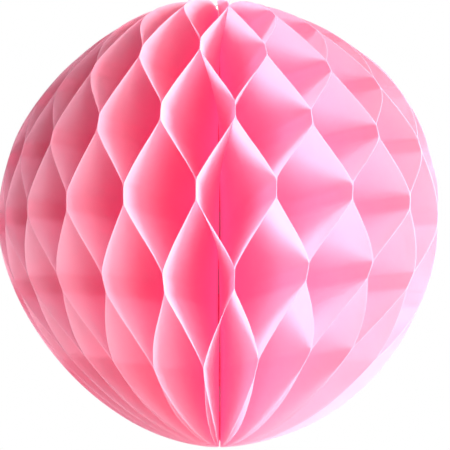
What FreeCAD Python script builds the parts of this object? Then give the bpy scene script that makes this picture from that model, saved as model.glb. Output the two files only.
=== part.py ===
"""Tissue-paper honeycomb ball: a fan of glued tissue leaves between two half-disc cover cards.

The spine of the fan is the vertical Z axis. The row's origin is the centre of the hanging eye, so
the middle of the ball lies straight below it. All sizes are in millimetres and degrees.
"""
import FreeCAD, Part
import math
import os

# name: (value, what it is)
SIZES = {
    "ball_radius": (125.0, "largest radius of the open ball, at its equator"),
    "half_height": (125.6, "height of each pole above or below the middle"),
    "upper_fullness": (2.14, "exponent of the outline above the middle; 2 is a circle"),
    "lower_fullness": (1.80, "exponent of the outline below the middle"),
    "sheet_thickness": (0.2, "tissue, modelled thicker than the real 0.04 mm"),
    "sheet_gap": (0.3, "air between neighbouring leaves at a glue strip"),
    "strip_height": (10.0, "height of one glue strip on the rim"),
    "first_row": (-86.8, "height of the lowest glue row, from the middle"),
    "row_step": (44.5, "spacing of the glue rows at the lowest row"),
    "row_settle": (1.27, "how much closer together the rows sit, row by row upwards"),
    "row_tilt": (12.9, "rise and fall of the rim's rows three times round, near the poles"),
    "row_tilt_phase": (-28.0, "where that rise is highest, degrees from the front"),
    "row_sway": (2.0, "rise and fall of the rim's rows twice round, at every height"),
    "row_sway_phase": (108.0, "where that rise is highest"),
    "bottom_opening": (0.3, "how far a leaf opens again below its lowest glue row, 1 is fully"),
    "top_opening": (1.0, "how far a leaf opens again above its highest glue row, 1 is fully"),
    "open_swing": (12.3, "how unevenly the leaves are opened round the ball, degrees"),
    "open_phase": (101.0, "direction in which the cells are widest, degrees from the front"),
    "fan_phase": (25.0, "direction of the reference fold line, degrees from the front"),
    "leaf_inner": (4.5, "radius at which a leaf's straight edge ends, round the spine"),
    "end_leaf_inner": (10.0, "the same for the two leaves glued to the cover cards"),
    "core_radius": (3.0, "glue-bound spine"),
    "core_end": (4.0, "how far the spine stops short of each pole"),
    "thread_radius": (0.6, "binding thread inside the spine"),
    "thread_play": (0.1, "radial play of the thread in the spine"),
    "card_thickness": (0.4, "cover card"),
    "card_gap": (0.5, "air between the two cover cards at the seam"),
    "card_inner": (8.0, "distance from the spine to a card's straight edge"),
    "card_margin": (2.0, "how far a card's rim stops inside the tissue rim"),
    "band_height": (14.0, "paper band that hangs a card on the spine"),
    "band_step": (33.0, "spacing of the bands along the spine"),
    "band_wall": (0.3, "wall of the band round the spine"),
    "band_play": (0.05, "radial play of the band on the spine"),
    "tail_length": (18.0, "tail of the band, glued to the card"),
    "tail_thickness": (0.15, "thickness of that tail"),
    "dot_radius": (5.0, "adhesive dot on the fixed card"),
    "dot_thickness": (0.2, "thickness of that dot"),
    "dot_height": (78.0, "height of the outer dots above and below the middle"),
    "dot_edge": (4.0, "distance from the dot to the card's rim"),
    "tab_width": (5.6, "hanging tab"),
    "tab_thickness": (0.8, "hanging tab"),
    "tab_root": (12.0, "length of the tab inside the spine's slot"),
    "tab_play": (0.05, "play of the tab in the slot, each side"),
    "eye_rise": (2.9, "height of the hanging eye above the pole"),
    "eye_bore": (1.3, "radius of the hole in the eyelet"),
    "eyelet_wall": (0.4, "wall of the eyelet's barrel"),
    "flange_radius": (2.2, "flange of the eyelet"),
    "flange_thickness": (0.25, "flange of the eyelet"),
}
LEAVES = 40
SEAM_LINE = 16                 # fold lines are numbered from the front; the cards meet at this one
FIXED_BANDS = (-3, -1, 1, 3)   # band places, counted in steps from the middle
FOLDING_BANDS = (-2, 0, 2)
DOTS = {"top": 1, "middle": 0, "bottom": -1}

doc = FreeCAD.newDocument("honeycomb_ball")
sheet = doc.addObject("Spreadsheet::Sheet", "Sizes")
for line, (name, (value, note)) in enumerate(SIZES.items(), start=1):
    sheet.set("A%d" % line, name)
    sheet.set("B%d" % line, str(value))
    sheet.set("C%d" % line, note)
    sheet.setAlias("B%d" % line, name)
doc.recompute()


def size(name):
    """Read one value back from the sheet."""
    return float(sheet.get(name))


R = size("ball_radius")
H = size("half_height")
DROP = H + size("eye_rise")
parts = []


def add(kind, label, **expressions):
    """Add one feature and bind its properties to the sheet."""
    obj = doc.addObject(kind, label)
    for prop, text in expressions.items():
        obj.setExpression(prop, text)
    return obj


def place(obj, x=0.0, y=0.0, z=0.0, turn=0.0, tilt=None):
    """Set a placement: turned about Z, or tilted about a given axis."""
    rotation = FreeCAD.Rotation(*tilt) if tilt else FreeCAD.Rotation(FreeCAD.Vector(0, 0, 1), turn)
    obj.Placement = FreeCAD.Placement(FreeCAD.Vector(x, y, z), rotation)
    return obj


def cut(label, base, *tools):
    for i, tool in enumerate(tools):
        step = doc.addObject("Part::Cut", label if i == len(tools) - 1 else "%s_step%d" % (label, i))
        step.Base, step.Tool = base, tool
        base = step
    return base


def fuse(label, shapes):
    obj = doc.addObject("Part::MultiFuse", label)
    obj.Shapes = shapes
    return obj


def finish(obj, node, turn=0.0):
    """Name a finished piece and hang it below the row's origin."""
    obj.Label = node
    place(obj, z=-DROP, turn=turn)
    parts.append((node, obj))
    return obj


# ---------------------------------------------------------------- outline of the ball
def rim_height(radius, exponent):
    return H * (1.0 - (radius / R) ** exponent) ** (1.0 / exponent)


def outline_face(inner, shrink):
    """Half outline of the ball from the radius inner outwards, in the XZ plane."""
    top, low = size("upper_fullness"), size("lower_fullness")
    points = []
    for exponent, sign in ((low, -1.0), (top, 1.0)):
        start = rim_height(inner, exponent) / H
        first = math.asin(start ** (exponent / 2.0))
        angles = [first * i / 9.0 for i in range(10)]
        half = [(R * math.cos(a) ** (2.0 / exponent), sign * H * math.sin(a) ** (2.0 / exponent))
                for a in angles]
        points += reversed(half) if sign < 0 else half[1:]
    scale = 1.0 - shrink / R
    vectors = [FreeCAD.Vector(inner + (r - inner) * scale, 0, z * scale) for r, z in points]
    curve = Part.BSplineCurve()
    curve.interpolate(vectors)
    wire = Part.Wire([curve.toShape(), Part.makeLine(vectors[-1], vectors[0])])
    return Part.Face(wire)


def outline(label, inner, shrink=0.0):
    obj = doc.addObject("Part::Feature", label)
    obj.Shape = outline_face(inner, shrink)
    return obj


def envelope(label, inner):
    """The ball as a solid of revolution with a hole round the spine."""
    obj = doc.addObject("Part::Revolution", label)
    obj.Source = outline(label + "_outline", inner)
    obj.Axis = FreeCAD.Vector(0, 0, 1)
    obj.Base = FreeCAD.Vector(0, 0, 0)
    obj.Angle = 360.0
    return obj


# ---------------------------------------------------------------- tissue leaves
def fold_line(number):
    """Direction of a fold line in degrees from the front, anticlockwise seen from above."""
    even = size("fan_phase") + number * 360.0 / LEAVES
    return even + size("open_swing") * math.sin(math.radians(even - size("open_phase")))


def row_height(row):
    return size("first_row") + size("row_step") * row - size("row_settle") * row * row


def glue_rows():
    """Numbers of the lowest and highest glue rows between the poles."""
    low, high = 0, 0
    while row_height(low - 1) > -H:
        low -= 1
    while row_height(high + 1) < H and row_height(high + 2) > row_height(high + 1):
        high += 1
    return low, high


def row_drift(angle, height):
    """How far the rim's end of a row lies above its spine end, on one side of the ball."""
    tilt = math.cos(math.radians(3.0 * angle - size("row_tilt_phase")))
    sway = math.cos(math.radians(2.0 * angle - size("row_sway_phase")))
    return size("row_tilt") * tilt * height / R + size("row_sway") * sway


def band_polygon(label, x, low_angle, high_angle, inset_low, inset_high, low_first):
    """Section of a leaf across the radial direction: a zigzag band standing along Z."""
    thick, strip = size("sheet_thickness") / 2.0, size("strip_height") / 2.0
    reach = x * math.tan(math.radians(high_angle - low_angle) / 2.0)
    low, high = min(inset_low - reach, 0.0), max(reach - inset_high, 0.0)
    if inset_low > inset_high:
        low = min(inset_low - reach, high)
    if inset_high > inset_low:
        high = max(reach - inset_high, low)
    first, last = glue_rows()
    middle = []
    for row in range(first - 1, last + 2):
        on_low = (row % 2 == 0) == low_first
        offset, angle = (low, low_angle) if on_low else (high, high_angle)
        if row < first or row > last:
            held = high if on_low else low
            opening = size("bottom_opening" if row < first else "top_opening")
            offset = held + (offset - held) * opening
        z = row_height(row) + row_drift(angle, row_height(row)) * x / R
        middle += [(offset, z - strip), (offset, z + strip)]
    loop = [FreeCAD.Vector(x, y + thick, z) for y, z in middle]
    loop += [FreeCAD.Vector(x, y - thick, z) for y, z in reversed(middle)]
    obj = doc.addObject("Part::Polygon", label)
    obj.Nodes = loop
    obj.Close = True
    return obj


def leaf(number, shell):
    """One tissue leaf, drawn in the plane of its straight edge, then turned round the spine."""
    line = SEAM_LINE + number - 1
    low_angle, high_angle = fold_line(line), fold_line(line + 1)
    inset = (size("sheet_gap") + size("sheet_thickness")) / 2.0
    seam = size("card_gap") / 2.0 + size("card_thickness") + inset + 0.05
    insets = (seam if number == 1 else inset, seam if number == LEAVES else inset)
    ends = number in (1, LEAVES)
    start = size("end_leaf_inner" if ends else "leaf_inner") - 0.3
    name = "leaf_%02d" % number
    loft = doc.addObject("Part::Loft", name + "_loft")
    loft.Sections = [band_polygon(name + tag, x, low_angle, high_angle, *insets, line % 2 == 0)
                     for tag, x in (("_inner", start), ("_outer", R + 1.0))]
    loft.Solid, loft.Ruled = True, True
    whole = doc.addObject("Part::Common", name)
    whole.Base, whole.Tool = loft, shell
    finish(whole, "tissue_" + name, (low_angle + high_angle) / 2.0 - 90.0)


shell = envelope("ball_envelope", size("leaf_inner"))
end_shell = envelope("end_leaf_envelope", size("end_leaf_inner"))
for n in range(1, LEAVES + 1):
    leaf(n, end_shell if n in (1, LEAVES) else shell)

# ---------------------------------------------------------------- cover cards at the seam
SEAM_TURN = fold_line(SEAM_LINE) - 90.0


def card(node, side):
    """Half-disc card standing beside the seam plane; side is +1 or -1."""
    obj = doc.addObject("Part::Extrusion", node + "_sheet")
    obj.Base = outline(node + "_outline", size("card_inner"), size("card_margin"))
    obj.DirMode = "Custom"
    obj.Dir = FreeCAD.Vector(0, side, 0)
    obj.Solid = True
    obj.setExpression("LengthFwd", "Sizes.card_thickness")
    place(obj, y=side * size("card_gap") / 2.0)
    return finish(fuse_one(node, obj), node, SEAM_TURN)


def card_rim(height):
    """Distance from the spine to a card's rim at one height."""
    scale = 1.0 - size("card_margin") / R
    exponent = size("upper_fullness" if height > 0 else "lower_fullness")
    radius = R * (1.0 - (abs(height) / (H * scale)) ** exponent) ** (1.0 / exponent)
    return size("card_inner") + (radius - size("card_inner")) * scale


def fuse_one(label, obj):
    """Wrap one placed feature so that the finished piece has a placement of its own."""
    wrap = doc.addObject("Part::Compound", label)
    wrap.Links = [obj]
    return wrap


def bands(node, places, side):
    """Paper bands round the spine, each with a tail glued to the inside of the seam."""
    pieces = []
    inner = "Sizes.core_radius + Sizes.band_play"
    for i, step in enumerate(places):
        name = "%s_%d" % (node, i)
        low = step * size("band_step") - size("band_height") / 2.0
        ring = add("Part::Cylinder", name + "_outer", Radius=inner + " + Sizes.band_wall",
                   Height="Sizes.band_height")
        hole = add("Part::Cylinder", name + "_hole", Radius=inner, Height="Sizes.band_height")
        tail = add("Part::Box", name + "_tail", Length="Sizes.tail_length",
                   Width="Sizes.tail_thickness", Height="Sizes.band_height")
        root = size("core_radius") + size("band_play") + 0.05
        face = size("card_gap") / 2.0
        place(tail, x=root, y=face - size("tail_thickness") if side > 0 else -face, z=low)
        place(ring, z=low)
        place(hole, z=low)
        wall = cut(name + "_wall", ring, hole)
        pieces.append(fuse(name, [wall, tail]))
    whole = doc.addObject("Part::Compound", node)
    whole.Links = pieces
    return finish(whole, node, SEAM_TURN)


card("cover_card_fixed", 1)
card("cover_card_folding", -1)
bands("spine_bands_fixed", FIXED_BANDS, 1)
bands("spine_bands_folding", FOLDING_BANDS, -1)

# adhesive dots on the fixed card, facing the folding card
for name, side in DOTS.items():
    dot = add("Part::Cylinder", "dot_" + name, Radius="Sizes.dot_radius",
              Height="Sizes.dot_thickness")
    up = side * size("dot_height")
    out = card_rim(up) - size("dot_radius") - size("dot_edge")
    place(dot, x=out, y=size("card_gap") / 2.0, z=up, tilt=(FreeCAD.Vector(1, 0, 0), 90))
    finish(fuse_one("adhesive_dot_" + name, dot), "adhesive_dot_" + name, SEAM_TURN)

# ---------------------------------------------------------------- spine, thread and hanging tab
core_half = H - size("core_end")
slot_floor = core_half - size("tab_root")

core_body = place(add("Part::Cylinder", "core_body", Radius="Sizes.core_radius",
                      Height="2 * (Sizes.half_height - Sizes.core_end)"), z=-core_half)
core_bore = place(add("Part::Cylinder", "core_bore",
                      Radius="Sizes.thread_radius + Sizes.thread_play",
                      Height="2 * Sizes.half_height"), z=-H)
slot_half = size("tab_thickness") / 2.0 + size("tab_play")
core_slot = place(add("Part::Box", "core_slot", Length="3 * Sizes.core_radius",
                      Width="Sizes.tab_thickness + 2 * Sizes.tab_play",
                      Height="Sizes.tab_root + 1"),
                  x=-1.5 * size("core_radius"), y=-slot_half, z=slot_floor)
finish(cut("spine_core", core_body, core_bore, core_slot), "spine_core")

thread_foot = -core_half - 1.0
thread_line = place(add("Part::Cylinder", "thread_line", Radius="Sizes.thread_radius"),
                    z=thread_foot)
thread_line.Height = slot_floor - 1.0 - thread_foot
knot_turns = []
for i, rise in enumerate((0.0, 0.9)):
    turn = add("Part::Torus", "knot_turn_%d" % i, Radius1="Sizes.thread_radius * 1.5",
               Radius2="Sizes.thread_radius")
    knot_turns.append(place(turn, z=thread_foot - 0.35 + rise * 0.6))
knot_heart = place(add("Part::Sphere", "knot_heart", Radius="Sizes.thread_radius * 1.7"),
                   z=thread_foot - 0.1)
finish(fuse("spine_thread", [thread_line, knot_heart] + knot_turns), "spine_thread")

eye_height = H + size("eye_rise")
tab_foot = slot_floor + size("tab_play")
tab_strip = place(add("Part::Box", "tab_strip", Length="Sizes.tab_width",
                      Width="Sizes.tab_thickness"),
                  x=-size("tab_width") / 2.0, y=-size("tab_thickness") / 2.0, z=tab_foot)
tab_strip.Height = eye_height - tab_foot
tab_round = place(add("Part::Cylinder", "tab_round", Radius="Sizes.tab_width / 2",
                      Height="Sizes.tab_thickness"),
                  y=size("tab_thickness") / 2.0, z=eye_height,
                  tilt=(FreeCAD.Vector(1, 0, 0), 90))
tab_hole = place(add("Part::Cylinder", "tab_hole", Radius="Sizes.eye_bore + Sizes.eyelet_wall",
                     Height="4 * Sizes.tab_thickness"),
                 y=2 * size("tab_thickness"), z=eye_height, tilt=(FreeCAD.Vector(1, 0, 0), 90))
finish(cut("hanging_tab", fuse("tab_blank", [tab_strip, tab_round]), tab_hole), "hanging_tab")

depth = size("tab_thickness") / 2.0 + size("flange_thickness")
barrel = place(add("Part::Cylinder", "eyelet_barrel",
                   Radius="Sizes.eye_bore + Sizes.eyelet_wall",
                   Height="Sizes.tab_thickness + 2 * Sizes.flange_thickness"),
               y=depth, z=eye_height, tilt=(FreeCAD.Vector(1, 0, 0), 90))
flanges = []
for tag, side in (("front", -1), ("back", 1)):
    flange = add("Part::Cylinder", "eyelet_flange_" + tag, Radius="Sizes.flange_radius",
                 Height="Sizes.flange_thickness")
    start = depth if side > 0 else -size("tab_thickness") / 2.0
    flanges.append(place(flange, y=start, z=eye_height, tilt=(FreeCAD.Vector(1, 0, 0), 90)))
eyelet_hole = place(add("Part::Cylinder", "eyelet_hole", Radius="Sizes.eye_bore",
                        Height="4 * Sizes.tab_thickness"),
                    y=2 * size("tab_thickness"), z=eye_height,
                    tilt=(FreeCAD.Vector(1, 0, 0), 90))
finish(cut("hanging_eyelet", fuse("eyelet_blank", [barrel] + flanges), eyelet_hole),
       "hanging_eyelet")

# ---------------------------------------------------------------- check and write
doc.recompute()
for obj in doc.Objects:
    if "Invalid" in obj.State or "Error" in obj.State:
        raise RuntimeError("%s did not recompute: %s" % (obj.Name, obj.State))
    if hasattr(obj, "Shape") and (obj.Shape.isNull() or not obj.Shape.isValid()):
        raise RuntimeError("%s has no valid shape" % obj.Name)

os.makedirs("parts", exist_ok=True)
for node, obj in parts:
    if not obj.Shape.Solids:
        raise RuntimeError("%s holds no solid" % node)
    obj.Shape.exportStep("parts/%s.step" % node)
print("nodes", len(parts), "solids", sum(len(obj.Shape.Solids) for _, obj in parts))
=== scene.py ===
"""Looks of the tissue-paper honeycomb ball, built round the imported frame. Sizes are in metres."""
import math

import bmesh
import bpy
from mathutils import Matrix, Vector


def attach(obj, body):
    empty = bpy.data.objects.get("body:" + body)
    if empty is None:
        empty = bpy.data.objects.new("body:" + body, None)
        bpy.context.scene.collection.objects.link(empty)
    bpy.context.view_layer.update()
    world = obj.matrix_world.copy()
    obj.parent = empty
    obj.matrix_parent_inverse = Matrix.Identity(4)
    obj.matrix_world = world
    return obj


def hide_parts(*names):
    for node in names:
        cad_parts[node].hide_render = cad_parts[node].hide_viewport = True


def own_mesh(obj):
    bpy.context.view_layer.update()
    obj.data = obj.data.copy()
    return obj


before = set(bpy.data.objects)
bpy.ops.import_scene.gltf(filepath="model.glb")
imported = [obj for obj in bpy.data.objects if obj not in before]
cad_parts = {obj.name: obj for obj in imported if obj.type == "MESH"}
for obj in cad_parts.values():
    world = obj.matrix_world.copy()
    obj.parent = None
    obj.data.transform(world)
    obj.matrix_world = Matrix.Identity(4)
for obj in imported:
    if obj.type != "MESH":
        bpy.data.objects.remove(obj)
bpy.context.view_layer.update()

# ------------------------------------------------------------------ sizes shared by the pieces
MM = 0.001
LEAVES = 40
SEAM_LINE = 16                 # the fold line at which the two cover cards meet
FAN_PHASE, OPEN_SWING, OPEN_PHASE = 25.0, 12.3, 101.0
BALL_RADIUS, HALF_HEIGHT = 125.0 * MM, 125.6 * MM
DROP = 128.5 * MM              # the middle of the ball lies this far below the hanging eye
CENTRE = Vector((0.0, 0.0, -DROP))
SEAM_INSET = 0.95 * MM         # the end leaves clear the cover cards by this much
TISSUE_WALL = 0.08 * MM        # thickness of a leaf, and its inset from a fold line
SPINE_REACH, END_REACH = 3.3 * MM, 10.0 * MM   # inner edge of a leaf, and of the two end leaves
CARD_RIM_START = 120.5 * MM    # the cards' pressed rim begins this far from the middle
LEAF_COLUMNS, LEAF_ROWS = 27, 213              # points of a leaf outwards and from pole to pole
RIM_CROWDING = 1.7             # power that crowds a leaf's columns towards its rim
POLE_GAP = 0.6 * MM            # at the poles the rim still stands this far outside the inner edge
LAST_ROW = 5.0                 # rows are numbered from 0 at the bottom


# ------------------------------------------------------------------ node trees as sums
class Field:
    """A value in a node tree. Arithmetic on it adds Math nodes to the tree."""

    def __init__(self, tree, socket):
        self.tree, self.socket = tree, socket

    def math(self, operation, *others):
        node = self.tree.nodes.new("ShaderNodeMath")
        node.operation = operation
        for place, value in zip(node.inputs, (self, *others)):
            if isinstance(value, Field):
                self.tree.links.new(value.socket, place)
            else:
                place.default_value = value
        return Field(self.tree, node.outputs[0])

    def __add__(self, other):
        return self.math("ADD", other)

    def __radd__(self, other):
        return self.math("ADD", other)

    def __sub__(self, other):
        return self.math("SUBTRACT", other)

    def __rsub__(self, other):
        return (self * -1.0).math("ADD", other)

    def __mul__(self, other):
        return self.math("MULTIPLY", other)

    def __rmul__(self, other):
        return self.math("MULTIPLY", other)

    def __truediv__(self, other):
        return self.math("DIVIDE", other)

    def __rtruediv__(self, other):
        return self.math("POWER", -1.0) * other

    def __pow__(self, other):
        return self.math("POWER", other)

    def sin(self):
        return self.math("SINE")

    def cos(self):
        return self.math("COSINE")

    def size(self):
        return self.math("ABSOLUTE")

    def clamp(self, low, high):
        return self.math("MAXIMUM", low).math("MINIMUM", high)

    def above(self, limit):
        return self.math("GREATER_THAN", limit)


def new_tree(name, inputs):
    """A geometry node tree with named float inputs; returns the tree and a field for each."""
    tree = bpy.data.node_groups.new(name, "GeometryNodeTree")
    tree.interface.new_socket("Geometry", in_out="OUTPUT", socket_type="NodeSocketGeometry")
    for label, start in inputs.items():
        socket = tree.interface.new_socket(label, in_out="INPUT", socket_type="NodeSocketFloat")
        socket.default_value = start
    tree.interface.new_socket("Material", in_out="INPUT", socket_type="NodeSocketMaterial")
    entry = tree.nodes.new("NodeGroupInput")
    fields = {label: Field(tree, entry.outputs[label]) for label in inputs}
    return tree, fields, entry


def add(tree, kind, settings=(), **sockets):
    """One node, with properties set and sockets fed by name."""
    node = tree.nodes.new(kind)
    for key, value in dict(settings).items():
        setattr(node, key, value)
    for key, value in sockets.items():
        place = node.inputs[key.replace("_", " ")]
        if isinstance(value, Field):
            tree.links.new(value.socket, place)
        elif isinstance(value, bpy.types.NodeSocket):
            tree.links.new(value, place)
        else:
            place.default_value = value
    return node


def parts_of(tree, vector):
    """The three numbers of a vector, as fields."""
    split = add(tree, "ShaderNodeSeparateXYZ", Vector=vector)
    return [Field(tree, output) for output in split.outputs]


def close_tree(tree, entry, geometry):
    """Every tree ends the same way: instances made real, the material set, then the output."""
    real = add(tree, "GeometryNodeRealizeInstances", Geometry=geometry)
    painted = add(tree, "GeometryNodeSetMaterial", Geometry=real.outputs[0],
                  Material=entry.outputs["Material"])
    out = tree.nodes.new("NodeGroupOutput")
    tree.links.new(painted.outputs[0], out.inputs[0])


def grow(name, tree, values, material, solidify=0.0):
    """Run a tree on an empty mesh and keep the result as a plain mesh object at the origin."""
    seed = bpy.data.objects.new(name + "_seed", bpy.data.meshes.new(name + "_seed"))
    bpy.context.scene.collection.objects.link(seed)
    maker = seed.modifiers.new("maker", "NODES")
    maker.node_group = tree
    for item in tree.interface.items_tree:
        if item.item_type == "SOCKET" and item.in_out == "INPUT":
            if item.name == "Material":
                maker[item.identifier] = material
            elif item.name in values:
                maker[item.identifier] = float(values[item.name])
    if solidify:
        wall = seed.modifiers.new("wall", "SOLIDIFY")
        wall.thickness, wall.offset, wall.use_even_offset = solidify, 0.0, False
        wall.use_quality_normals = True
    graph = bpy.context.evaluated_depsgraph_get()
    mesh = bpy.data.meshes.new_from_object(seed.evaluated_get(graph), depsgraph=graph,
                                           preserve_all_data_layers=True)
    old = seed.data
    bpy.data.objects.remove(seed)
    bpy.data.meshes.remove(old)
    mesh.name = name
    obj = bpy.data.objects.new(name, mesh)
    bpy.context.scene.collection.objects.link(obj)
    mesh.polygons.foreach_set("use_smooth", [True] * len(mesh.polygons))
    return obj


# ------------------------------------------------------------------ how the leaves stand open
def fold_line(number):
    """Direction of a fold line in radians from the front, anticlockwise seen from above."""
    even = FAN_PHASE + number * 360.0 / LEAVES
    return math.radians(even + OPEN_SWING * math.sin(math.radians(even - OPEN_PHASE)))


def leaf_tree():
    """One tissue leaf: a half disc waved to and fro between its two fold lines."""
    tree, f, entry = new_tree("tissue_leaf", {
        "Low Angle": 0.0, "High Angle": 0.15, "Side At Even Rows": 1.0,
        "Inner Radius": SPINE_REACH, "Low Inset": TISSUE_WALL, "High Inset": TISSUE_WALL,
        "Ball Radius": BALL_RADIUS, "Half Height": HALF_HEIGHT,
        "Upper Fullness": 2.14, "Lower Fullness": 1.80,
        "First Row": -86.8 * MM, "Row Step": 44.5 * MM, "Row Settle": 1.27 * MM,
        "Row Tilt": 12.9 * MM, "Row Tilt Phase": math.radians(-28.0),
        "Row Sway": 2.0 * MM, "Row Sway Phase": math.radians(108.0),
        "Strip Share": 0.07, "Strip Share At Equator": 0.05, "Roundness": 0.12,
        "Bottom Opening": 0.3, "Top Opening": 1.0,
        "Crinkle": 0.5 * MM, "Seed": 0.0, "Drop": DROP,
    })
    grid = add(tree, "GeometryNodeMeshGrid", Size_X=1.0, Size_Y=1.0)
    grid.inputs["Vertices X"].default_value = LEAF_COLUMNS
    grid.inputs["Vertices Y"].default_value = LEAF_ROWS
    along, upright, _ = parts_of(tree, tree.nodes.new("GeometryNodeInputPosition").outputs[0])
    # 0 at the spine, 1 at the rim, with the columns close together near the rim
    out = 1.0 - (0.5 - along) ** RIM_CROWDING
    up = upright * 2.0                                     # -1 at the bottom pole, 1 at the top
    radius, height, inner = f["Ball Radius"], f["Half Height"], f["Inner Radius"]

    fullness = f["Lower Fullness"] + (f["Upper Fullness"] - f["Lower Fullness"]) * up.above(0.0)
    end = ((inner + POLE_GAP) / radius) ** (fullness / 2.0)
    turn = up.size() * end.math("ARCCOSINE")
    rim = radius * turn.cos().clamp(0.0, 1.0) ** (2.0 / fullness)
    z = up.math("SIGN") * height * turn.sin().clamp(0.0, 1.0) ** (2.0 / fullness)
    r = inner + (rim - inner) * out

    # the row number at this height, and the to-and-fro wave that meets a neighbour at each row
    step, settle = f["Row Step"], f["Row Settle"]
    row = (step - (step * step - 4.0 * settle * (z - f["First Row"])).math("SQRT")) / (2.0 * settle)
    apart = row - 2.0 * (row * 0.5 + 0.5).math("FLOOR")
    level = 1.0 - (z / height) ** 2.0
    strip = f["Strip Share"] + f["Strip Share At Equator"] * level
    wave = ((1.0 - 2.0 * apart.size()) / (1.0 - 2.0 * strip)).clamp(-1.0, 1.0)
    bent = (wave * (math.pi / 2)).sin()
    wave = wave + (bent - wave) * f["Roundness"]
    # past the last glued row the leaf opens again, at the bottom only a little
    past_low, past_high = (0.0 - row).above(0.0), row.above(LAST_ROW)
    wave = (wave + past_low * (1.0 - wave) * (1.0 - f["Bottom Opening"])
            - past_high * (1.0 + wave) * (1.0 - f["Top Opening"])) * f["Side At Even Rows"]

    half = (f["High Angle"] - f["Low Angle"]) / 2.0
    inset = f["Low Inset"] + (f["High Inset"] - f["Low Inset"]) * wave.above(0.0)
    angle = (f["High Angle"] + f["Low Angle"]) / 2.0 + wave * (half - inset / r)

    # soft crinkles between the glue strips
    loose = 1.0 - wave ** 4.0
    noise = add(tree, "ShaderNodeTexNoise", {"noise_dimensions": "3D"}, Scale=1.0, Detail=2.0)
    where = add(tree, "ShaderNodeCombineXYZ", X=r * 60.0, Y=z * 42.0, Z=f["Seed"])
    tree.links.new(where.outputs[0], noise.inputs["Vector"])
    crinkle = (Field(tree, noise.outputs[0]) - 0.5) * 2.0 * f["Crinkle"] * loose * out
    angle = angle + crinkle / r

    # the rows rise and fall a little round the ball, most at the rim
    tilt = f["Row Tilt"] * (3.0 * angle - f["Row Tilt Phase"]).cos() * z / radius
    sway = f["Row Sway"] * (2.0 * angle - f["Row Sway Phase"]).cos()
    near_pole = 1.0 - (z / height) ** 6.0
    z = z + (tilt + sway) * r / radius * near_pole
    place = add(tree, "ShaderNodeCombineXYZ", X=r * angle.sin(), Y=-1.0 * r * angle.cos(),
                Z=z - f["Drop"])
    keep_uv = add(tree, "GeometryNodeStoreNamedAttribute",
                  {"data_type": "FLOAT2", "domain": "CORNER"},
                  Geometry=grid.outputs["Mesh"], Name="leaf_uv")
    flat = add(tree, "ShaderNodeCombineXYZ", X=out, Y=up * 0.5 + 0.5)
    tree.links.new(flat.outputs[0], keep_uv.inputs["Value"])
    keep_row = add(tree, "GeometryNodeStoreNamedAttribute",
                   {"data_type": "FLOAT", "domain": "POINT"},
                   Geometry=keep_uv.outputs[0], Name="bond", Value=wave.size())
    moved = add(tree, "GeometryNodeSetPosition", Geometry=keep_row.outputs[0],
                Position=place.outputs[0])
    close_tree(tree, entry, moved.outputs[0])
    return tree


# ------------------------------------------------------------------ shader groups shared by the papers
def effect(name, inputs, outputs):
    """An empty shader group with named sockets; returns it and its two end nodes."""
    group = bpy.data.node_groups.new(name, "ShaderNodeTree")
    for label, (kind, start) in inputs.items():
        socket = group.interface.new_socket(label, in_out="INPUT", socket_type="NodeSocket" + kind)
        if start is not None:
            socket.default_value = start
    for label, kind in outputs.items():
        group.interface.new_socket(label, in_out="OUTPUT", socket_type="NodeSocket" + kind)
    entry, end = group.nodes.new("NodeGroupInput"), group.nodes.new("NodeGroupOutput")
    return group, entry, end


def tint(tree, share, low, high):
    """Colour between two others; each may be a socket or a plain colour."""
    node = add(tree, "ShaderNodeMix", {"data_type": "RGBA"})
    for place, value in ((0, share), (6, low), (7, high)):
        if isinstance(value, Field):
            tree.links.new(value.socket, node.inputs[place])
        elif isinstance(value, bpy.types.NodeSocket):
            tree.links.new(value, node.inputs[place])
        else:
            node.inputs[place].default_value = (*value, 1.0) if place else value
    return node.outputs[2]


def noise(tree, where, scale, detail=3.0, stretch=None):
    """Noise value over the surface, stretched along one way where asked."""
    if stretch:
        spread = add(tree, "ShaderNodeMapping", Vector=where)
        spread.inputs["Scale"].default_value = stretch
        where = spread.outputs[0]
    return Field(tree, add(tree, "ShaderNodeTexNoise", Vector=where, Scale=scale,
                           Detail=detail).outputs[0])


def paper_fibres():
    """Cloudy formation, single fibres and tiny flecks, as any thin paper shows against light."""
    group, entry, end = effect("paper_fibres", {
        "Where": ("Vector", None), "Cloud Scale": ("Float", 90.0), "Fibre Scale": ("Float", 700.0)},
        {"Cloud": "Float", "Fibres": "Float", "Height": "Float"})
    where = entry.outputs["Where"]
    cloud = noise(group, where, Field(group, entry.outputs["Cloud Scale"]), 4.0)
    lengthwise = noise(group, where, Field(group, entry.outputs["Fibre Scale"]), 2.0, (1, 1, 0.18))
    across = noise(group, where, Field(group, entry.outputs["Fibre Scale"]), 2.0, (0.18, 1, 1))
    fibres = ((lengthwise - 0.5).size() * -9.0 + 1.0).clamp(0.0, 1.0) * 0.6 + \
        ((across - 0.5).size() * -9.0 + 1.0).clamp(0.0, 1.0) * 0.4
    group.links.new(cloud.socket, end.inputs["Cloud"])
    group.links.new(fibres.socket, end.inputs["Fibres"])
    group.links.new((cloud * 0.4 + fibres * 0.6).socket, end.inputs["Height"])
    return group


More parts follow.
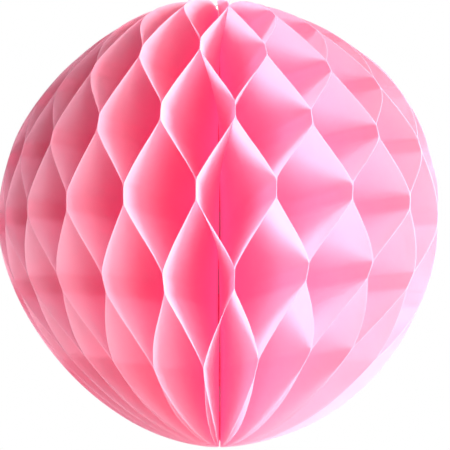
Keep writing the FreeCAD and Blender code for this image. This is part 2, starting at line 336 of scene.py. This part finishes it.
def handled_edge():
    """Soft wear and finger marks, stronger where the mask given is high."""
    group, entry, end = effect("handled_edge", {
        "Where": ("Vector", None), "Mask": ("Float", 0.0), "Mark Scale": ("Float", 60.0)},
        {"Wear": "Float", "Marks": "Float"})
    marks = noise(group, entry.outputs["Where"], Field(group, entry.outputs["Mark Scale"]), 5.0)
    marks = ((marks - 0.52) * 4.0).clamp(0.0, 1.0)
    fine = noise(group, entry.outputs["Where"], 900.0, 2.0)
    wear = (Field(group, entry.outputs["Mask"]) * (fine * 1.6 + 0.2)).clamp(0.0, 1.0)
    group.links.new(wear.socket, end.inputs["Wear"])
    group.links.new(marks.socket, end.inputs["Marks"])
    return group


PAPER_FIBRES, HANDLED_EDGE = paper_fibres(), handled_edge()


# ------------------------------------------------------------------ materials
def material(name):
    """A new material, its node tree and its main shader."""
    made = bpy.data.materials.new(name)
    made.use_nodes = True
    return made, made.node_tree, made.node_tree.nodes["Principled BSDF"]


def use(tree, group, **sockets):
    """A shader group placed in a material; returns a field for each of its outputs, by name."""
    node = add(tree, "ShaderNodeGroup", {"node_tree": group}, **sockets)
    return {output.name: Field(tree, output) for output in node.outputs}


def place_on(tree):
    """Where on its piece a point lies."""
    return tree.nodes.new("ShaderNodeTexCoord").outputs["Object"]


def surface(tree, body, colour, roughness):
    tree.links.new(colour, body.inputs["Base Color"])
    tree.links.new(roughness.socket, body.inputs["Roughness"])


def bump(tree, body, height, depth, strength=1.0):
    """Small relief, with its depth in metres."""
    node = add(tree, "ShaderNodeBump", Strength=strength, Distance=depth, Height=height)
    tree.links.new(node.outputs[0], body.inputs["Normal"])


def tissue_material():
    """Thin dyed tissue: light goes through it, and a painted glow, rising to a deeper pink towards the
    spine, stands in for light scattered far inside the cells.
    """
    made, tree, body = material("dyed_tissue")
    where = place_on(tree)
    leaf = add(tree, "ShaderNodeUVMap", {"uv_map": "leaf_uv"})
    outward = parts_of(tree, leaf.outputs[0])[0]
    bond = Field(tree, add(tree, "ShaderNodeAttribute", {"attribute_name": "bond"}).outputs["Fac"])
    fibres = use(tree, PAPER_FIBRES, Where=where, Cloud_Scale=70.0, Fibre_Scale=520.0)
    cloud, fibre = fibres["Cloud"], fibres["Fibres"]

    # share of the painted glow: full at the spine, none at the rim
    painted_glow_share = (1.0 - outward).clamp(0.0, 1.0) ** 1.3
    # painted highlight mask: the thin outermost band of each leaf
    edge = ((outward - 0.992) * 200.0).clamp(0.0, 1.0)
    # painted shade mask: the glue strips, where two leaves lie doubled
    glued = ((bond - 0.985) * 90.0).clamp(0.0, 1.0)

    dye = tint(tree, (cloud - 0.25) * 1.6, TISSUE_DEEP, TISSUE_PALE)
    dye = tint(tree, fibre * 0.10, dye, (1.0, 0.86, 0.92))
    # painted shade: the glue strips are mixed a little towards a darker pink
    dye = tint(tree, glued * 0.12, dye, TISSUE_GLUED_SHADE)
    # painted highlight: the rim is mixed halfway towards a paler pink, as if it caught the light
    dye = tint(tree, edge * 0.5, dye, TISSUE_RIM_HIGHLIGHT)
    surface(tree, body, dye, fibre * -0.08 + 0.88)
    body.inputs["Specular IOR Level"].default_value = 0.2
    bump(tree, body, fibres["Height"], 0.00006, 0.5)

    # painted glow: emission of a deeper pink towards the spine, standing in for light scattered
    # between the leaves
    glow = tint(tree, painted_glow_share, (0.0, 0.0, 0.0), (1.0, 0.20, 0.50))
    tree.links.new(glow, body.inputs["Emission Color"])
    body.inputs["Emission Strength"].default_value = 0.35

    through = add(tree, "ShaderNodeBsdfTranslucent", Color=(*TISSUE_THROUGH, 1.0))
    mix = add(tree, "ShaderNodeMixShader", Fac=0.68)
    tree.links.new(body.outputs[0], mix.inputs[1])
    tree.links.new(through.outputs[0], mix.inputs[2])
    tree.links.new(mix.outputs[0], tree.nodes["Material Output"].inputs["Surface"])
    return made


def card_material():
    """Uncoated pink card: pulp flecks, a pressed rim and light finger marks."""
    made, tree, body = material("pink_cover_card")
    where = place_on(tree)
    fibres = use(tree, PAPER_FIBRES, Where=where, Cloud_Scale=45.0, Fibre_Scale=260.0)
    x, y, z = parts_of(tree, where)
    z = z + DROP
    rim = (((x * x + y * y + z * z) ** 0.5 - CARD_RIM_START) * 500.0).clamp(0.0, 1.0)
    handled = use(tree, HANDLED_EDGE, Where=where, Mask=rim, Mark_Scale=40.0)
    colour = tint(tree, fibres["Cloud"], (0.56, 0.060, 0.150), (0.70, 0.115, 0.235))
    colour = tint(tree, fibres["Fibres"] * 0.20, colour, (0.82, 0.32, 0.44))
    colour = tint(tree, handled["Wear"] * 0.5, colour, (0.88, 0.52, 0.60))
    surface(tree, body, colour, handled["Marks"] * -0.14 + 0.78)
    bump(tree, body, fibres["Height"], 0.00012, 0.6)
    return made


def band_material():
    """Plain paper tape: pale, with a lengthwise grain and fine fibres."""
    made, tree, body = material("paper_tape")
    where = place_on(tree)
    fibres = use(tree, PAPER_FIBRES, Where=where, Cloud_Scale=160.0, Fibre_Scale=900.0)
    grain = noise(tree, where, 1400.0, 2.0, (1.0, 1.0, 0.08))
    colour = tint(tree, grain, (0.50, 0.34, 0.39), (0.62, 0.47, 0.51))
    colour = tint(tree, fibres["Fibres"] * 0.25, colour, (0.72, 0.64, 0.65))
    surface(tree, body, colour, grain * 0.2 + 0.62)
    bump(tree, body, grain * 0.6 + fibres["Height"] * 0.4, 0.00005)
    return made


def adhesive_material():
    """Clear sticky film, a little yellow, with small trapped bubbles."""
    made, tree, body = material("sticky_dot")
    where = place_on(tree)
    cells = add(tree, "ShaderNodeTexVoronoi", Vector=where, Scale=1300.0)
    bubble = ((0.32 - Field(tree, cells.outputs["Distance"])) * 8.0).clamp(0.0, 1.0)
    thick = noise(tree, where, 420.0, 3.0)
    colour = tint(tree, thick, (0.80, 0.76, 0.66), (0.92, 0.90, 0.84))
    colour = tint(tree, bubble * 0.6, colour, (0.98, 0.97, 0.95))
    surface(tree, body, colour, thick * 0.25 + 0.12 + bubble * 0.2)
    body.inputs["Coat Weight"].default_value = 0.4
    body.inputs["Transmission Weight"].default_value = 0.35
    bump(tree, body, thick * 0.5 + bubble * 0.5, 0.00008)
    return made


def spine_material():
    """Tissue edges pressed and glued into a rod: many fine lengthwise layers and glue shine."""
    made, tree, body = material("glued_spine")
    where = place_on(tree)
    fibres = use(tree, PAPER_FIBRES, Where=where, Cloud_Scale=300.0, Fibre_Scale=1100.0)
    layers = noise(tree, where, 2600.0, 3.0, (1.0, 1.0, 0.03))
    glue = ((noise(tree, where, 240.0, 3.0) - 0.5) * 5.0).clamp(0.0, 1.0)
    colour = tint(tree, layers, (0.72, 0.07, 0.20), (0.98, 0.34, 0.52))
    colour = tint(tree, glue * 0.45, colour, (0.62, 0.05, 0.16))
    surface(tree, body, colour, glue * -0.35 + 0.78)
    bump(tree, body, layers * 0.8 + fibres["Height"] * 0.2, 0.00018)
    return made


def thread_material():
    """Twisted cotton: slanting plies with a soft fuzz."""
    made, tree, body = material("cotton_thread")
    where = place_on(tree)
    x, y, z = parts_of(tree, where)
    around = y.math("ARCTAN2", x)
    ply = (around * 3.0 + z * 5200.0).sin() * 0.5 + 0.5
    fuzz = noise(tree, where, 6000.0, 2.0)
    # painted shade: the colour darkens in the grooves between the slanting plies
    colour = tint(tree, ply, (0.66, 0.58, 0.58), (0.95, 0.91, 0.90))
    colour = tint(tree, fuzz * 0.3, colour, (1.0, 0.98, 0.97))
    surface(tree, body, colour, fuzz * 0.15 + 0.8)
    body.inputs["Sheen Weight"].default_value = 0.4
    bump(tree, body, ply * 0.7 + fuzz * 0.3, 0.00012)
    return made


def tab_material():
    """White card tab: smooth, with pulp specks and pale wear round its edge and hole."""
    made, tree, body = material("white_tab_card")
    where = place_on(tree)
    fibres = use(tree, PAPER_FIBRES, Where=where, Cloud_Scale=500.0, Fibre_Scale=2400.0)
    x, _, z = parts_of(tree, where)
    ring = ((x * x + z * z) ** 0.5 * 1000.0 - 2.5).clamp(0.0, 1.0)
    handled = use(tree, HANDLED_EDGE, Where=where, Mask=ring, Mark_Scale=700.0)
    colour = tint(tree, fibres["Cloud"], (0.56, 0.46, 0.48), (0.66, 0.59, 0.60))
    colour = tint(tree, fibres["Fibres"] * 0.2, colour, (0.44, 0.34, 0.36))
    colour = tint(tree, handled["Wear"] * 0.4, colour, (0.80, 0.77, 0.76))
    surface(tree, body, colour, handled["Marks"] * -0.12 + 0.66)
    bump(tree, body, fibres["Height"], 0.00004)
    return made


def eyelet_material():
    """Plated steel, rolled over: fine turning marks round the hole and dulled spots."""
    made, tree, body = material("plated_eyelet")
    where = place_on(tree)
    x, _, z = parts_of(tree, where)
    from_hole = (x * x + z * z) ** 0.5
    turning = (from_hole * 42000.0).sin() * 0.5 + 0.5
    dull = ((noise(tree, where, 1500.0, 4.0) - 0.45) * 3.0).clamp(0.0, 1.0)
    colour = tint(tree, dull, (0.80, 0.80, 0.82), (0.58, 0.57, 0.58))
    surface(tree, body, colour, dull * 0.25 + turning * 0.06 + 0.18)
    body.inputs["Metallic"].default_value = 1.0
    bump(tree, body, turning * 0.4 + dull * 0.6, 0.00001)
    return made


TISSUE_DEEP, TISSUE_PALE = (1.0, 0.65, 0.765), (1.0, 0.71, 0.80)
# the first of these colours is a painted shade for the doubled glue strips
# the second of these colours is a painted highlight for the leaves' rims
TISSUE_GLUED_SHADE, TISSUE_RIM_HIGHLIGHT, TISSUE_THROUGH = (1.0, 0.63, 0.745), (1.0, 0.70, 0.80), (1.0, 0.68, 0.785)
TISSUE = tissue_material()
CARD, TAPE, STICKY, SPINE = card_material(), band_material(), adhesive_material(), spine_material()
THREAD, TAB, EYELET = thread_material(), tab_material(), eyelet_material()

# ------------------------------------------------------------------ camera
VIEW_DISTANCE = 7.0 * BALL_RADIUS
VIEW_BELOW = math.radians(10.0)
LENS, SENSOR = 122.64, 36.0     # millimetres, as a camera's are
SIDE_SHIFT = 0.0126667          # share of the frame's width by which the ball stands off its middle
camera = bpy.data.objects.new("camera", bpy.data.cameras.new("camera"))
bpy.context.scene.collection.objects.link(camera)
camera.location = CENTRE + VIEW_DISTANCE * Vector((0, -math.cos(VIEW_BELOW), -math.sin(VIEW_BELOW)))
camera.rotation_euler = (math.pi / 2 + VIEW_BELOW, 0.0, 0.0)
camera.data.lens = LENS
camera.data.sensor_width = SENSOR
camera.data.shift_x = SIDE_SHIFT
camera.data.clip_start = 0.01
bpy.context.scene.camera = camera

# ------------------------------------------------------------------ tissue leaves
tree = leaf_tree()
for number in range(1, LEAVES + 1):
    line = SEAM_LINE + number - 1
    low, high = fold_line(line), fold_line(line + 1)
    end_leaf = number in (1, LEAVES)
    leaf = grow("paper_leaf_%02d" % number, tree, {
        "Low Angle": low, "High Angle": high,
        "Side At Even Rows": -1.0 if line % 2 == 0 else 1.0,
        "Inner Radius": END_REACH if end_leaf else SPINE_REACH,
        "Low Inset": SEAM_INSET if number == 1 else TISSUE_WALL,
        "High Inset": SEAM_INSET if number == LEAVES else TISSUE_WALL,
        "Seed": number * 7.3,
    }, TISSUE, solidify=TISSUE_WALL)
    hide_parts("tissue_leaf_%02d" % number)
    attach(leaf, "leaf_%02d" % number)
    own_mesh(leaf)

# ------------------------------------------------------------------ spine, thread and eyelet
CORE_RADIUS, CORE_END, TAB_ROOT = 3.0 * MM, 4.0 * MM, 12.0 * MM
THREAD_RADIUS, SLOT_WIDTH = 0.6 * MM, 0.9 * MM
CORE_HALF = HALF_HEIGHT - CORE_END


def plain_mesh(name, bm, finish):
    """A bmesh made into an object at the origin, faces outwards and smooth."""
    bmesh.ops.remove_doubles(bm, verts=bm.verts, dist=1e-6)
    bmesh.ops.recalc_face_normals(bm, faces=bm.faces)
    mesh = bpy.data.meshes.new(name)
    bm.to_mesh(mesh)
    bm.free()
    mesh.materials.append(finish)
    mesh.polygons.foreach_set("use_smooth", [True] * len(mesh.polygons))
    obj = bpy.data.objects.new(name, mesh)
    bpy.context.scene.collection.objects.link(obj)
    return obj


def spine_tree():
    """A rod of pressed tissue edges: one rib for each leaf, drifting a little along its length."""
    tree, f, entry = new_tree("pressed_spine", {
        "Radius": CORE_RADIUS, "Half Length": CORE_HALF, "Ribs": float(LEAVES),
        "Rib Depth": 0.11 * MM, "Drift": 0.12, "Pinch": 0.10 * MM, "Drop": DROP})
    rod = add(tree, "GeometryNodeMeshCylinder", {"fill_type": "TRIANGLE_FAN"},
              Vertices=LEAVES * 4, Side_Segments=72, Radius=1.0, Depth=2.0)
    x, y, up = parts_of(tree, tree.nodes.new("GeometryNodeInputPosition").outputs[0])
    around = y.math("ARCTAN2", x)
    rib = (around * f["Ribs"] + (up * 9.0).sin() * f["Drift"] * 8.0).sin()
    radius = f["Radius"] - f["Rib Depth"] * (0.5 - 0.5 * rib) \
        - f["Pinch"] * ((up * 31.0).sin() * 0.5 + 0.5)
    place = add(tree, "ShaderNodeCombineXYZ", X=x * radius, Y=y * radius,
                Z=up * f["Half Length"] - f["Drop"])
    moved = add(tree, "GeometryNodeSetPosition", Geometry=rod.outputs["Mesh"],
                Position=place.outputs[0])
    close_tree(tree, entry, moved.outputs[0])
    return tree


def cut_away(obj, name, corners=None, tube=None):
    """Take a box, or a round bore given as (radius, low, high, sides), out of a closed piece."""
    bm = bmesh.new()
    if corners:
        low, high = corners
        bmesh.ops.create_cube(bm, size=1.0)
        for v in bm.verts:
            v.co = Vector([(high[k] + low[k]) / 2 + v.co[k] * (high[k] - low[k]) for k in range(3)])
    else:
        radius, low, high, sides = tube
        bmesh.ops.create_cone(bm, cap_ends=True, segments=sides, radius1=radius, radius2=radius,
                              depth=high - low)
        for v in bm.verts:
            v.co.z += (high + low) / 2
    tool = plain_mesh(name + "_cutter", bm, SPINE)
    change = obj.modifiers.new("cut", "BOOLEAN")
    change.operation, change.object, change.solver = "DIFFERENCE", tool, "EXACT"
    graph = bpy.context.evaluated_depsgraph_get()
    mesh = bpy.data.meshes.new_from_object(obj.evaluated_get(graph), depsgraph=graph)
    obj.modifiers.remove(change)
    obj.data = mesh
    bpy.data.objects.remove(tool)


def tube_along(bm, points, radius, sides, closed=False):
    """A round tube through points, with capped ends unless it is closed on itself."""
    count, rings, across = len(points), [], Vector((1.0, 0.0, 0.0))
    for k, point in enumerate(points):
        ahead = points[(k + 1) % count] if closed or k < count - 1 else point
        behind = points[k - 1] if closed or k else point
        along = (ahead - behind).normalized()
        across = (across - along * across.dot(along)).normalized()
        beside = along.cross(across)
        rings.append([bm.verts.new(point + radius * (math.cos(t) * across + math.sin(t) * beside))
                      for t in (2 * math.pi * i / sides for i in range(sides))])
    pairs = list(zip(rings, rings[1:])) + ([(rings[-1], rings[0])] if closed else [])
    for low, high in pairs:
        shift = 0
        if closed and low is rings[-1]:
            shift = min(range(sides), key=lambda t: (high[t].co - low[0].co).length)
        for i in range(sides):
            bm.faces.new((low[i], low[(i + 1) % sides], high[(i + 1 + shift) % sides],
                          high[(i + shift) % sides]))
    if not closed:
        bm.faces.new(rings[0][::-1])
        bm.faces.new(rings[-1])


def bound_thread():
    """Three plies twisted together down the spine, with a knot and a short tail at the bottom."""
    bm = bmesh.new()
    foot, top = -CORE_HALF - 1.0 * MM, CORE_HALF - TAB_ROOT - 1.0 * MM
    ply, turn_height = THREAD_RADIUS * 0.5, 2.6 * MM
    steps = int((top - foot) / turn_height * 9)
    for strand in range(3):
        line = []
        for k in range(steps + 1):
            z = foot + (top - foot) * k / steps
            a = 2 * math.pi * ((z - foot) / turn_height + strand / 3.0)
            line.append(Vector((ply * 0.96 * math.cos(a), ply * 0.96 * math.sin(a), z - DROP)))
        tube_along(bm, line, ply, 6)
    knot = []
    for k in range(60):
        t = 2 * math.pi * k / 60
        wide = (0.80 + 0.30 * math.cos(3 * t)) * MM
        knot.append(Vector((wide * math.cos(2 * t), wide * math.sin(2 * t),
                            foot - DROP + 0.42 * MM * math.sin(3 * t))))
    tube_along(bm, knot, 0.42 * MM, 8, closed=True)
    tail = [Vector(((0.5 + 0.25 * k) * MM, 0.12 * k * k * MM, foot - DROP - (0.35 + 0.42 * k) * MM))
            for k in range(4)]
    tube_along(bm, tail, 0.30 * MM, 7)
    return plain_mesh("spine_binding_thread", bm, THREAD)


def rolled_eyelet():
    """Barrel with both ends rolled over the tab; the front one reaches out a little further."""
    bore, wall, lip, half, rise = 1.30, 0.40, 2.20, 0.40, 0.25
    section = []
    for side, reach in ((-1, lip), (1, lip - 0.04)):
        middle = (bore + wall * 0.45 + reach) / 2.0
        span, arc = (reach - bore - wall * 0.45) / 2.0, []
        for k in range(9):
            t = math.pi * k / 8
            arc.append((middle - span * math.cos(t), side * (half + 0.02 + rise * 0.9 * math.sin(t))))
        inner = (bore, side * half * 0.8)
        shaped = [inner, (bore + 0.02, side * (half + 0.12))] + arc[1:] + \
            [(reach - 0.02, side * half), (bore + wall, side * half)]
        section += shaped if side < 0 else shaped[::-1]
    bm, turns, rings = bmesh.new(), 56, []
    for k in range(turns):
        a = 2 * math.pi * k / turns
        rings.append([bm.verts.new((r * MM * math.cos(a), y * MM, r * MM * math.sin(a)))
                      for r, y in section])
    for k in range(turns):
        here, there = rings[k], rings[(k + 1) % turns]
        for i in range(len(section)):
            n = (i + 1) % len(section)
            bm.faces.new((here[i], here[n], there[n], there[i]))
    return plain_mesh("rolled_hanging_eyelet", bm, EYELET)


spine = grow("pressed_tissue_spine", spine_tree(), {}, SPINE)
cut_away(spine, "tab_slot", corners=((-5 * MM, -SLOT_WIDTH / 2, CORE_HALF - TAB_ROOT - DROP),
                                     (5 * MM, SLOT_WIDTH / 2, CORE_HALF + 1 * MM - DROP)))
cut_away(spine, "thread_bore", tube=(THREAD_RADIUS + 0.1 * MM, -HALF_HEIGHT - DROP,
                                     CORE_HALF - TAB_ROOT + 0.5 * MM - DROP, 28))
DETAILED = ((spine, "spine_core", "bound_spine"), (bound_thread(), "spine_thread", "thread"),
            (rolled_eyelet(), "hanging_eyelet", "eyelet_metal"))
for piece, node, finish in DETAILED:
    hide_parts(node)
    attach(piece, "frame")

# ------------------------------------------------------------------ the solid pieces
FINISHES = {
    "cover_card_fixed": CARD, "cover_card_folding": CARD,
    "spine_bands_fixed": TAPE, "spine_bands_folding": TAPE,
    "adhesive_dot_top": STICKY, "adhesive_dot_middle": STICKY, "adhesive_dot_bottom": STICKY,
    "hanging_tab": TAB,
}
for node, finish in FINISHES.items():
    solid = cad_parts[node]
    solid.data.materials.clear()
    solid.data.materials.append(finish)

# ------------------------------------------------------------------ floor and light
def floor():
    """A wide pale floor, far below the ball."""
    half, depth = 9.0, -2.3
    mesh = bpy.data.meshes.new("floor")
    mesh.from_pydata([(-half, -half, depth), (half, -half, depth), (half, half, depth),
                      (-half, half, depth)], [], [(0, 1, 2, 3)])
    obj = bpy.data.objects.new("floor", mesh)
    bpy.context.scene.collection.objects.link(obj)
    made, tree, body = material("pale_floor")
    grain = noise(tree, place_on(tree), 3.0, 4.0)
    tree.links.new(tint(tree, grain, (0.80, 0.80, 0.81), (0.86, 0.86, 0.87)),
                   body.inputs["Base Color"])
    body.inputs["Roughness"].default_value = 0.8
    # pale to the eye wherever the lamps do not reach
    seen = Field(tree, tree.nodes.new("ShaderNodeLightPath").outputs["Is Camera Ray"])
    body.inputs["Emission Color"].default_value = (0.97, 0.97, 0.98, 1.0)
    tree.links.new((seen * 0.55).socket, body.inputs["Emission Strength"])
    mesh.materials.append(made)


def lamp(name, place, size, power):
    """A round soft lamp that looks at the middle of the ball."""
    data = bpy.data.lights.new(name, "AREA")
    data.shape, data.size, data.energy = "DISK", size, power
    obj = bpy.data.objects.new(name, data)
    obj.location = CENTRE + Vector(place)
    obj.rotation_euler = (-Vector(place)).to_track_quat("-Z", "Y").to_euler()
    bpy.context.scene.collection.objects.link(obj)


floor()
lamp("key", (1.7, -0.9, 0.3), 1.3, 116.0)
lamp("front", (0.8, -1.6, 0.0), 1.2, 20.0)
lamp("back", (-0.7, 1.8, 0.4), 1.4, 30.0)
lamp("bounce", (0.2, -0.5, -1.7), 1.8, 26.0)

# a white room behind, with less light coming from it than the eye sees
world = bpy.data.worlds.new("studio")
world.use_nodes = True
room = world.node_tree.nodes["Background"]
room.inputs["Color"].default_value = (1.0, 1.0, 1.0, 1.0)
rays = world.node_tree.nodes.new("ShaderNodeLightPath")
seen = Field(world.node_tree, rays.outputs["Is Camera Ray"])
world.node_tree.links.new((seen * 0.67 + 0.33).socket, room.inputs["Strength"])
bpy.context.scene.world = world
bpy.context.scene.view_settings.view_transform = "Standard"
bpy.context.scene.cycles.max_bounces = 16
bpy.context.scene.cycles.diffuse_bounces = 8
bpy.context.scene.cycles.transmission_bounces = 14
